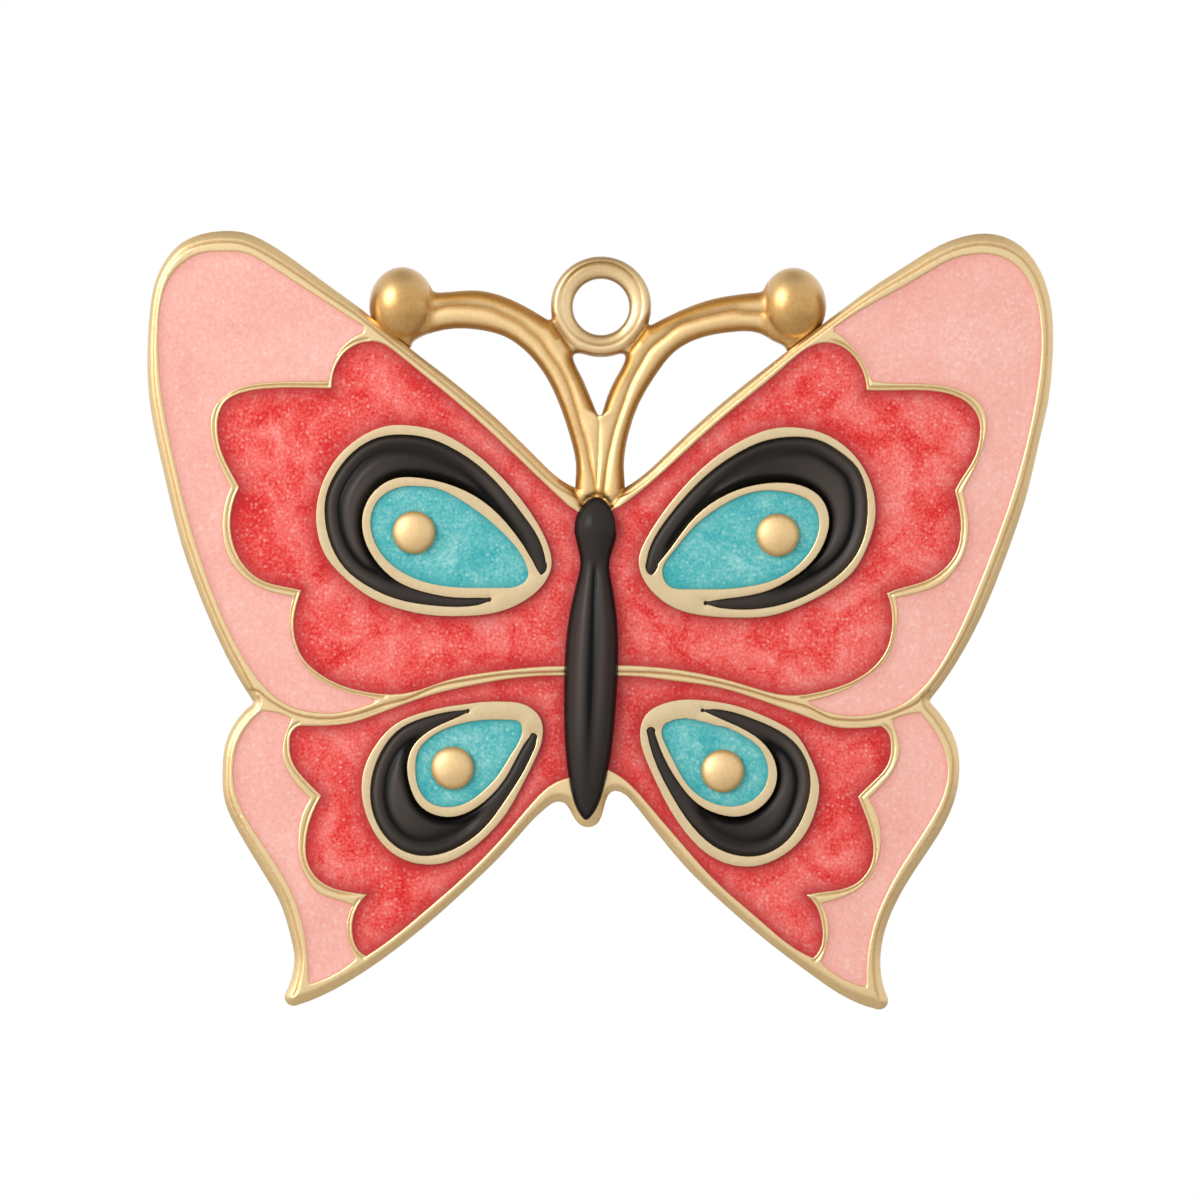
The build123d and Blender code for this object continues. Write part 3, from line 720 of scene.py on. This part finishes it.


# the fade settings and the wall share set the painted shade that darkens each enamel towards its walls
fills = {  # the enamels reach a little under the metal, so that no gap shows, and creep up its walls
    "pink": {"voxel": 0.11, "front": 0.15, "spread": 0.07, "reach": 0.20, "rise": 0.05, "rim": 0.16,
             "fade": 0.10, "fadePower": 1.2, "wallShadeShare": 0.6},
    "red": {"voxel": 0.11, "front": 0.15, "spread": 0.07, "reach": 0.20, "rise": 0.03, "rim": 0.16,
            "fade": 0.34, "fadePower": 1.2, "wallShadeShare": 0.95},
    "teal": {"voxel": 0.07, "front": 0.10, "spread": 0.05, "reach": 0.15, "rise": 0.015, "rim": 0.12,
             "fade": 0.20, "fadePower": 1.3, "wallShadeShare": 0.8},
}
tipNudges = {  # where a fine outline is drawn again: place, reach, how much it swells and its shift
    "upper_left": [((489, 599.6), 9, 0.6, (0, 0)), ((539, 566), 13, 1.12, (-0.5, 0))],
    "upper_right": [((705.5, 602.9), 9, 0.6, (0, 0)), ((651, 566), 12, 1.12, (0.5, 0))],
    "lower_left": [((467.4, 710.8), 9, 0.6, (0, 0)), ((529.5, 743), 13, 1.15, (0.5, 0))],
    "lower_right": [((702.1, 710.5), 9, 0.6, (0, 0)), ((701, 725), 15, 1, (0, -3.2)),
                    ((675, 716), 13, 1, (0, 2.2))],
    "crown": [((600, 409), 15, 0.68, (0, 4.5))],
}


def nudge(shape, spot):
    # draws the fine ends of a piece as they are seen
    for place, reach, swell, shift in tipNudges[spot]:
        centre = Vector(placeOf(place))
        step = Vector((shift[0] * view["across"], -shift[1] * view["up"]))
        for vert in shape.verts:
            offset = Vector((vert.co.x, vert.co.z)) - centre
            if offset.length > reach * view["across"]:
                continue
            share = 1 - ease(offset.length / view["across"], 0.4 * reach, reach)
            move = (offset * (swell - 1) + step) * float(share)
            vert.co.x += move.x
            vert.co.z += move.y
    return shape


def spreadSides(mesh, edge, spread, reach):
    # pushes the sides of a fill outwards, and gives the distance in from the outline it had
    points = pointsOf(mesh)
    inward, _ = nearest(edge, points)
    normals = pointsOf(mesh, "normal")
    level = np.hypot(normals[:, 0], normals[:, 2])
    push = spread * (1 - ease(inward, 0.3 * reach, reach)) * ease(level, 0.05, 0.3) / np.maximum(level, 0.05)
    points[:, 0] += normals[:, 0] * push
    points[:, 2] += normals[:, 2] * push
    return points, inward


def enamelFill(colour, spot, name):
    form = fills[colour]
    shape = nodeShape(f"{colour}_enamel_{spot}")
    if colour == "teal":
        nudge(shape, spot)
    edge = treeOf(sectionPoints(shape, sectionDepth[colour]))
    fill = evenMesh(meshOf(shape), form["voxel"])
    points, inward = spreadSides(fill, edge, form["spread"], form["reach"])
    top = points[:, 1].min()
    front = points[:, 1] < top + form["front"]
    points[front, 1] = top - form["rise"] * np.exp(-(inward[front] / form["rim"]) ** 2)
    movePoints(fill, points)
    # painted shade towards the walls
    writeShare(fill, "wallShadeShare", form["wallShadeShare"] * np.exp(-(inward / form["fade"]) ** form["fadePower"]))
    finishPiece(fill, name, enamels[colour], [f"{colour}_enamel_{spot}"])


for spot in spots:
    for colour in ("pink", "red"):
        enamelFill(colour, spot, f"{colour}_fill_{spot}")
print("wing enamels ready")


# eye spots: bezels, crescents, teal fields and studs
eyes = {
    "bezelWidth": 0.34, "bezelRound": 0.045, "bezelTone": 0.10,
    "studRadius": 0.87, "studRise": 0.50, "studTone": 0.12, "studEdgeShade": 0.5,
    "studShare": 0.93,  # how much of a full dome's width the button keeps
    "studPower": 2.2,  # over 2 it is flatter on top than a ball
    "studRows": 20, "studTurns": 96,
}
crescents = {
    "voxel": 0.05, "spread": 0.04, "reach": 0.12,
    "front": 0.35,  # the relief fades out at this depth below the top
    "ridge": 0.24,  # from the outer bezel to the crest beside it
    "ridgeWidth": 0.16, "ridgeRise": 0.15,
    "valley": 0.59, "valleyWidth": 0.15,
    "swellRise": 0.26, "slimRise": 0.10, "drop": 0.12, "wideDrop": 0.16,
    "edgeDrop": 0.08, "edgeWidth": 0.05,
    "slimTo": (0.55, 1.1),  # widths at which it is slim and wide
}


def bezelPiece(spot):
    # a flat gold strip with its front edges broken
    shape = nodeShape(f"eye_bezel_{spot}")
    top = min(vert.co.y for vert in shape.verts)
    edges = [edge for edge in shape.edges
             if all(vert.co.y < top + 1e-3 for vert in edge.verts) and edge.calc_face_angle(0) > 1]
    bmesh.ops.bevel(shape, geom=edges, offset=eyes["bezelRound"], offset_type="OFFSET", segments=3,
                    profile=0.5, affect="EDGES", material=-1, clamp_overlap=True)
    bezel = meshOf(nudge(shape, spot))
    writeShare(bezel, "toneAndPaintedShade", eyes["bezelTone"])
    finishPiece(bezel, f"eye_rim_{spot}", golds["brushed"], [f"eye_bezel_{spot}"],
                sharpAngle=35)


def crescentPiece(spot):
    # black enamel with a crest by the outer bezel, a valley and a wide swell
    form = crescents
    tealShape = nudge(nodeShape(f"teal_enamel_{spot}"), spot)
    tealTree = treeOf(sectionPoints(tealShape, sectionDepth["teal"]))
    tealShape.free()
    shape = nudge(nodeShape(f"black_crescent_{spot}"), spot)
    own = sectionPoints(shape, sectionDepth["crescent"])
    inside = [tealTree.find(point)[2] < eyes["bezelWidth"] + 0.12 for point in own]
    outerTree = treeOf([point for point, near in zip(own, inside) if not near])
    innerTree = treeOf([point for point, near in zip(own, inside) if near])
    crescent = soften(evenMesh(meshOf(shape), form["voxel"]), 1)
    points, _ = spreadSides(crescent, treeOf(own), form["spread"], form["reach"])
    top = -points[:, 1].min()
    raised = np.flatnonzero(-points[:, 1] > top - form["front"])
    outer, inner = [nearest(tree, points[raised])[0] for tree in (outerTree, innerTree)]
    width = outer + inner
    tail = ease(width, *form["slimTo"])
    crest = notch(outer - form["ridge"], form["ridgeWidth"])
    swell = ease(outer, form["valley"] - 0.04, form["valley"] + 0.40) * ease(inner, -0.05, 0.46)
    wide = form["ridgeRise"] * crest + form["swellRise"] * swell
    slim = form["slimRise"] * np.sin(np.pi * np.clip(outer / width, 0, 1))
    depth = (top - form["drop"] - form["wideDrop"] * tail
             - form["edgeDrop"] * notch(np.minimum(outer, inner), form["edgeWidth"])
             + tail * wide + (1 - tail) * slim)
    raiseTo(points, raised, top - form["front"], top, depth)
    movePoints(crescent, points)
    soften(crescent, 3)
    # painted shading: painted shade along its inner wall and in the valley, painted light where it faces
    # sideways and on the crest
    paintedShading = np.full(len(points), 0.7)
    spread = points[raised][:, [0, 2]] - np.mean([(point.x, point.z) for point in own], axis=0)
    sideways = (spread[:, 0] / np.maximum(np.hypot(spread[:, 0], spread[:, 1]), 0.1)) ** 2
    valley = notch(outer - form["valley"], form["valleyWidth"])
    paintedShading[raised] = np.clip(0.5 + tail * (0.18 - 0.56 * sideways - 0.1 * crest
                                           + (1 - ease(inner, 0.05, 0.45))
                                           + (0.15 + 0.85 * sideways) * valley), 0, 1)
    writeShare(crescent, "paintedShadingShare", paintedShading)
    finishPiece(crescent, f"crescent_{spot}", satinBlack, [f"black_crescent_{spot}"])


def studPiece(spot):
    # a low button turned round its own middle
    low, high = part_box(f"eye_stud_{spot}")
    centre = (low + high) * 500
    front, back = low.y * 1000, high.y * 1000
    stud = bmesh.new()
    shares = [math.sin(math.pi / 2 * step / eyes["studRows"]) for step in range(eyes["studRows"] + 1)]
    falls = [1 - math.sqrt(1 - (eyes["studShare"] * share) ** eyes["studPower"]) for share in shares]
    rows = [(eyes["studRadius"] * share, eyes["studRise"] * fall) for share, fall in zip(shares, falls)]
    verts = [stud.verts.new((centre.x + radius, front + fall, centre.z)) for radius, fall in rows]
    under = (centre.x + eyes["studRadius"] * 0.97, front + rows[-1][1] + 0.05, centre.z)
    verts.append(stud.verts.new(under))
    verts.append(stud.verts.new((centre.x, back, centre.z)))
    edges = [stud.edges.new(pair) for pair in zip(verts, verts[1:])]
    bmesh.ops.spin(stud, geom=verts + edges, cent=centre, axis=(0, 1, 0), angle=math.tau,
                   steps=eyes["studTurns"], use_merge=True)
    bmesh.ops.remove_doubles(stud, verts=stud.verts, dist=1e-4)
    bmesh.ops.recalc_face_normals(stud, faces=stud.faces)
    mesh = meshOf(stud)
    points = pointsOf(mesh)
    rim = np.hypot(points[:, 0] - centre.x, points[:, 2] - centre.z) / eyes["studRadius"]
    # painted shade towards the button's rim
    writeShare(mesh, "toneAndPaintedShade", eyes["studTone"] + eyes["studEdgeShade"] * ease(rim, 0.72, 1.0))
    finishPiece(mesh, f"stud_{spot}", golds["satin"], [f"eye_stud_{spot}"])


for spot in spots:
    bezelPiece(spot)
    crescentPiece(spot)
    enamelFill("teal", spot, f"teal_field_{spot}")
    studPiece(spot)
print("eyes ready")


# ring, antennae and balls: worked as one so that they flow together, then parted along straight seams
crown = {
    "voxel": 0.045,
    "bore": 1.16,
    "ringCrease": 1.68, "ringCreaseWidth": 0.06,
    "creaseRise": 0.10,  # the crease's middle lies above the bore's
    "ringFront": 0.63,
    "seamWidth": 0.10, "seamDepth": 0.03, "seamShade": 0.45, "shadeWidth": 0.40, "shadeTone": 0.4,
    "seamFade": 0.16, "ringSink": 0.14,
    "holdColumns": (430, 767),
    "stemFrom": 484, "stemLonger": 0.30, "softAbove": 405, "edgeAbove": 486,
    "gusset": [(572, 335), (627.5, 352.5)],  # fills the corners between the ring and the antennae
    "joinReach": 0.30,
    "joinRounds": 30,
    "balls": {"left": (401.5, 304.4), "right": (794, 305.0)},
    "ballSize": (1.35, 1.32, 1.57),
    "seats": {"left": [(355.5, 310), (415.5, 358)], "right": [(782, 360), (842, 314.5)]},
    "ballSeams": {"left": [(429, 400), (429, 200)], "right": [(768, 200), (768, 400)]},
    "ringSeams": {"left": [(549.5, 318), (573, 352)], "right": [(627, 352), (652, 318)]},
    "middleSeams": {"left": [(597.5, 600), (597.5, 380)], "right": [(597.5, 380), (597.5, 600)]},
}


def longerStem(side):
    # the antenna with its foot run on over the saddle
    shape = nodeShape(f"antenna_{side}")
    for vert in shape.verts:
        if vert.co.z < placeOf((0, crown["stemFrom"]))[1]:
            vert.co.z -= crown["stemLonger"]
    return shape


def ballBlank(side):
    # a ball drawn out a little towards its seat on the rim
    ball = bmesh.new()
    bmesh.ops.create_uvsphere(ball, u_segments=64, v_segments=32, radius=1)
    bmesh.ops.scale(ball, vec=crown["ballSize"], verts=ball.verts)
    across, up = placeOf(crown["balls"][side])
    bmesh.ops.translate(ball, verts=ball.verts, vec=(across, 0, up))
    keepLeft(ball, crown["seats"][side])
    return ball


def gussetBlank():
    (left, top), (right, bottom) = [placeOf(pixel) for pixel in crown["gusset"]]
    block = bmesh.new()
    bmesh.ops.create_cube(block, size=1)
    bmesh.ops.scale(block, vec=(right - left, 1.0, top - bottom), verts=block.verts)
    bmesh.ops.translate(block, vec=((left + right) / 2, 0, (top + bottom) / 2), verts=block.verts)
    return block


def ringRelief(points, inward):
    # a round outer band, a crease and a flat inner band that leans towards the bore; the tone is painted
    # shade by the outer edge, in the crease and by the bore, with more of it on the outer band at the top and
    # on the inner band at the bottom
    radius = np.hypot(points[:, 0], points[:, 2])
    height = points[:, 2] / np.maximum(radius, 0.1)
    top, bottom = np.clip(height, 0, 1) ** 2, np.clip(-height, 0, 1) ** 2
    within = crown["ringCrease"] - np.hypot(points[:, 0], points[:, 2] - crown["creaseRise"])
    crease = notch(within, crown["ringCreaseWidth"])
    inner = ease(within, 0, 0.08)
    lean = np.clip(within / 0.5, 0, 1)
    depth = (crown["ringFront"] - roll(inward, 0.26, 0.20) * (1 - inner) - (0.06 + 0.06 * top) * crease
             - (0.03 + 0.09 * lean) * inner - roll(radius - crown["bore"], 0.08, 0.07) * inner)
    # painted shade, more of it at the top and bottom of the ring
    tone = (0.06 + 0.5 * (1 - ease(inward, 0.02, 0.2)) + crease * (0.2 + 0.8 * top + 0.7 * bottom)
            + 0.5 * notch(within - 0.10, 0.12) * top + 0.4 * (1 - inner) * top
            + 0.35 * inner * bottom + 0.6 * (1 - ease(radius - crown["bore"], 0.02, 0.08)))
    return depth, tone


def crownRelief(points, edge):
    # front depth, tone and how far the relief holds; the tone carries painted shade by the seams, edges and
    # grooves, and the balls a painted paler top
    inward, upward = edgeDistance(edge, points)
    seams = [alongLine(line, points)[0] for line in crown["ringSeams"].values()]
    inRing = ease(np.min(seams, axis=0), -crown["seamFade"], crown["seamFade"])
    beside = np.min(np.abs(seams), axis=0)
    above = ease(points[:, 2], -3.1, -2.3)
    seam = notch(beside, crown["seamWidth"]) * above
    shade = notch(beside, crown["shadeWidth"]) * above * (1 - inRing)
    depth, deep = feelerRelief(points, np.minimum(inward, beside + 0.12 + 3 * (1 - above)), upward)
    ringDepth, ringTone = ringRelief(points, nearest(treeOf([Vector(point) for point in edge]), points)[0])
    ringDepth -= crown["ringSink"] * (1 - ease(beside, 0, 0.35)) * above
    cut, tone, _ = footGrooves(points)
    depth = depth + (ringDepth - depth) * inRing - crown["seamDepth"] * seam - cut + 0.01
    deep = deep + (ringTone - deep) * inRing + crown["seamShade"] * seam + crown["shadeTone"] * shade + tone
    first, last = [placeOf((column, 0))[0] for column in crown["holdColumns"]]
    hold = ease(np.minimum(points[:, 0] - first, last - points[:, 0]), -0.1, 0.35)
    # the balls are deep in tone with a painted paler top
    ballTop = ease(points[:, 2], 0.2, 1.1)
    return depth, np.clip(deep, 0, 1) * hold + (0.85 - 0.25 * ballTop) * (1 - hold), hold


blanks = [nodeShape("hanging_ring"), *[longerStem(side) for side in sides],
          *[ballBlank(side) for side in sides], gussetBlank()]
blankTrees = [treeOf(sectionPoints(shape, sectionDepth["crown"])) for shape in blanks]
metal = evenMesh(meshOf(joined(blanks)), crown["voxel"])
points = pointsOf(metal)
apart = np.sort([nearest(tree, points)[0] for tree in blankTrees], axis=0)
inStem = points[:, 2] < placeOf((0, crown["softAbove"]))[1]
soften(metal, 2)
soften(metal, crown["joinRounds"], (apart[1] < crown["joinReach"]) & ~inStem)
whole = bmesh.new()
whole.from_mesh(metal)
nudge(whole, "crown").to_mesh(metal)
stemEnd = placeOf((0, crown["edgeAbove"]))[1]
edgePoints = [point for point in sectionPoints(whole, sectionDepth["crown"]) if point.z > stemEnd]
edgePoints = np.concatenate([np.array(edgePoints), flatPoints(feelers["stemSides"])])
whole.free()
points = pointsOf(metal)
front = np.flatnonzero(points[:, 1] < 0)
depth, deep, hold = crownRelief(points[front], edgePoints)
points[front, 1] *= hold * depth / feelers["half"] + 1 - hold
movePoints(metal, points)
tone = np.full(len(points), 0.5)
tone[front] = deep
soften(metal, 2)
writeShare(metal, "toneAndPaintedShade", tone)
print("crown:", 2 * len(metal.polygons), "triangles")


def crownPiece(name, lines, replaced, kind):
    shape = bmesh.new()
    shape.from_mesh(metal)
    for line in lines:
        keepLeft(shape, line)
    bmesh.ops.delete(shape, geom=[vert for vert in shape.verts if not vert.link_faces], context="VERTS")
    bmesh.ops.recalc_face_normals(shape, faces=shape.faces)
    finishPiece(meshOf(shape), name, golds[kind], [replaced], sharpAngle=50)


ringSeams = crown["ringSeams"]
crownPiece("ring", ringSeams.values(), "hanging_ring", "turned")
for side in sides:
    ballSeam = crown["ballSeams"][side]
    crownPiece(f"feeler_{side}", [ringSeams[side][::-1], ballSeam[::-1], crown["middleSeams"][side]],
               f"antenna_{side}", "drawn")
    crownPiece(f"feeler_ball_{side}", [ballSeam, crown["seats"][side]], f"antenna_ball_{side}", "buffed")
bpy.data.meshes.remove(metal)
print("ring, antennae and balls ready")


# body: a head, a neck and an abdomen with two lengthwise swells
bodyShape = {
    "voxel": 0.05, "spread": 0.06, "reach": 0.25, "front": 0.75,
    "head": (597, 497.5), "tail": (586, 819.5), "neck": 0.19,
    "swell": 0.07, "swellAt": 0.42, "swellWidth": 0.2, "grooveWidth": 0.16,
}


def bodyPiece():
    form = bodyShape
    mesh = soften(evenMesh(meshOf(nodeShape("body")), form["voxel"]), 2)
    points, _ = spreadSides(mesh, bodyTree, form["spread"], form["reach"])
    points = towardsHead(points)
    front = np.flatnonzero(points[:, 1] < -form["front"])
    offset, along = alongLine([form["head"], form["tail"]], points[front])
    inward, _ = nearest(bodyTree, points[front])
    across = offset / (np.abs(offset) + inward)
    reach = ease(along, form["neck"], form["neck"] + 0.06) * (1 - ease(along, 0.55, 0.95))
    groove = notch(across, form["grooveWidth"])
    swells = [notch(across + place, form["swellWidth"]) for place in (-form["swellAt"], form["swellAt"])]
    relief = form["swell"] * reach * (swells[0] + swells[1] - 1.3 * groove)
    points[front, 1] -= relief * ease(inward, 0, 0.25)
    movePoints(mesh, points)
    # painted shading: painted shade in the middle groove and along the edges, a painted sheen on the two
    # swells
    paintedShading = np.full(len(points), 0.7)
    swell = notch(np.abs(across) - form["swellAt"], form["swellWidth"])
    paintedShading[front] = np.clip(0.62 + 0.5 * reach * groove - 0.5 * reach * swell
                            + 0.35 * (1 - ease(inward, 0, 0.22)), 0, 1)
    writeShare(mesh, "paintedShadingShare", paintedShading)
    finishPiece(mesh, "body_shell", satinBlack, ["body"])


bodyPiece()
print("body ready")


stageSettings = {"floorDrop": 62, "floorRadius": 230, "floorColour": "#DDDAD4"}


def stageDisc():
    disc = bmesh.new()
    bmesh.ops.create_circle(disc, cap_ends=True, segments=96, radius=stageSettings["floorRadius"] * 0.001)
    bmesh.ops.translate(disc, verts=disc.verts, vec=(0, 0, -stageSettings["floorDrop"] * 0.001))
    mesh = meshOf(disc)
    floor = bpy.data.objects.new("floor", mesh)
    scene.collection.objects.link(floor)
    material, tree = newMaterial("palePaper")
    surface = addNode(tree, "BsdfPrincipled",
                      {"Base Color": linearOf(stageSettings["floorColour"]), "Roughness": 0.9})
    addNode(tree, "OutputMaterial", None, {"Surface": (surface, "BSDF")})
    mesh.materials.append(material)


def softWorld():
    # a white room, a little darker overhead and darker below
    world = bpy.data.worlds.new("room")
    scene.world = world
    world.use_nodes = True
    tree = world.node_tree
    tree.nodes.clear()
    place = addNode(tree, "TexCoord")
    parts = addNode(tree, "SeparateXYZ", None, {"Vector": (place, "Generated")})
    height = addNode(tree, "MapRange", {"From Min": -1.0, "From Max": 1.0}, {"Value": (parts, "Z")})
    ramp = addNode(tree, "ValToRGB", None, {"Fac": (height, "Result")})
    fillRamp(ramp, [(0.0, "#A9A399"), (0.24, "#D9D4CB"), (0.42, "#FFFFFF"), (0.70, "#FFFFFF"),
                    (0.90, "#EFEBE4"), (1.0, "#B9B3A9")])
    seen = addNode(tree, "LightPath")
    mirrored = addNode(tree, "Math", {"operation": "MAXIMUM"},
                       {0: (seen, "Is Glossy Ray"), 1: (seen, "Is Transmission Ray")})
    shown = addNode(tree, "Math", {"operation": "MAXIMUM"}, {0: (seen, "Is Camera Ray"), 1: (mirrored, 0)})
    strength = addNode(tree, "MapRange", {"To Min": 0.76, "To Max": 1.0}, {"Value": (shown, 0)})
    light = addNode(tree, "Background", None, {"Color": (ramp, "Color"), "Strength": (strength, "Result")})
    addNode(tree, "OutputWorld", None, {"Surface": (light, "Background")})


softBoxes = {
    "keyBox": {"place": (-0.176, -0.166, 0.090), "size": 0.155, "power": 0.38},
    "sideBox": {"place": (-0.30, -0.12, 0.02), "size": 0.30, "power": 0.02},
}


def softBox(name, settings):
    light = bpy.data.lights.new(name, "AREA")
    light.shape = "DISK"
    light.size = settings["size"]
    light.energy = settings["power"]
    lamp = bpy.data.objects.new(name, light)
    scene.collection.objects.link(lamp)
    target = Vector((0, 0, -0.012))
    lamp.location = settings["place"]
    lamp.rotation_euler = (target - lamp.location).to_track_quat("-Z", "Y").to_euler()


def frontCamera():
    # a long lens straight on, so the front is seen with hardly any perspective
    centre = placeOf(view["middle"])
    lens, sensor, front = 200, 36, 0.9
    distance = view["width"] * view["across"] * lens / sensor + front
    data = bpy.data.cameras.new("front")
    data.lens = lens
    data.sensor_width = sensor
    data.clip_start, data.clip_end = 0.01, 10
    camera = bpy.data.objects.new("front", data)
    scene.collection.objects.link(camera)
    camera.location = (centre[0] * 0.001, -distance * 0.001, centre[1] * 0.001)
    camera.rotation_euler = (math.radians(90), 0, 0)
    scene.camera = camera


stageDisc()
softWorld()
for name, settings in softBoxes.items():
    softBox(name, settings)
frontCamera()
scene.view_settings.view_transform = "Standard"
print("stage, light and camera ready")
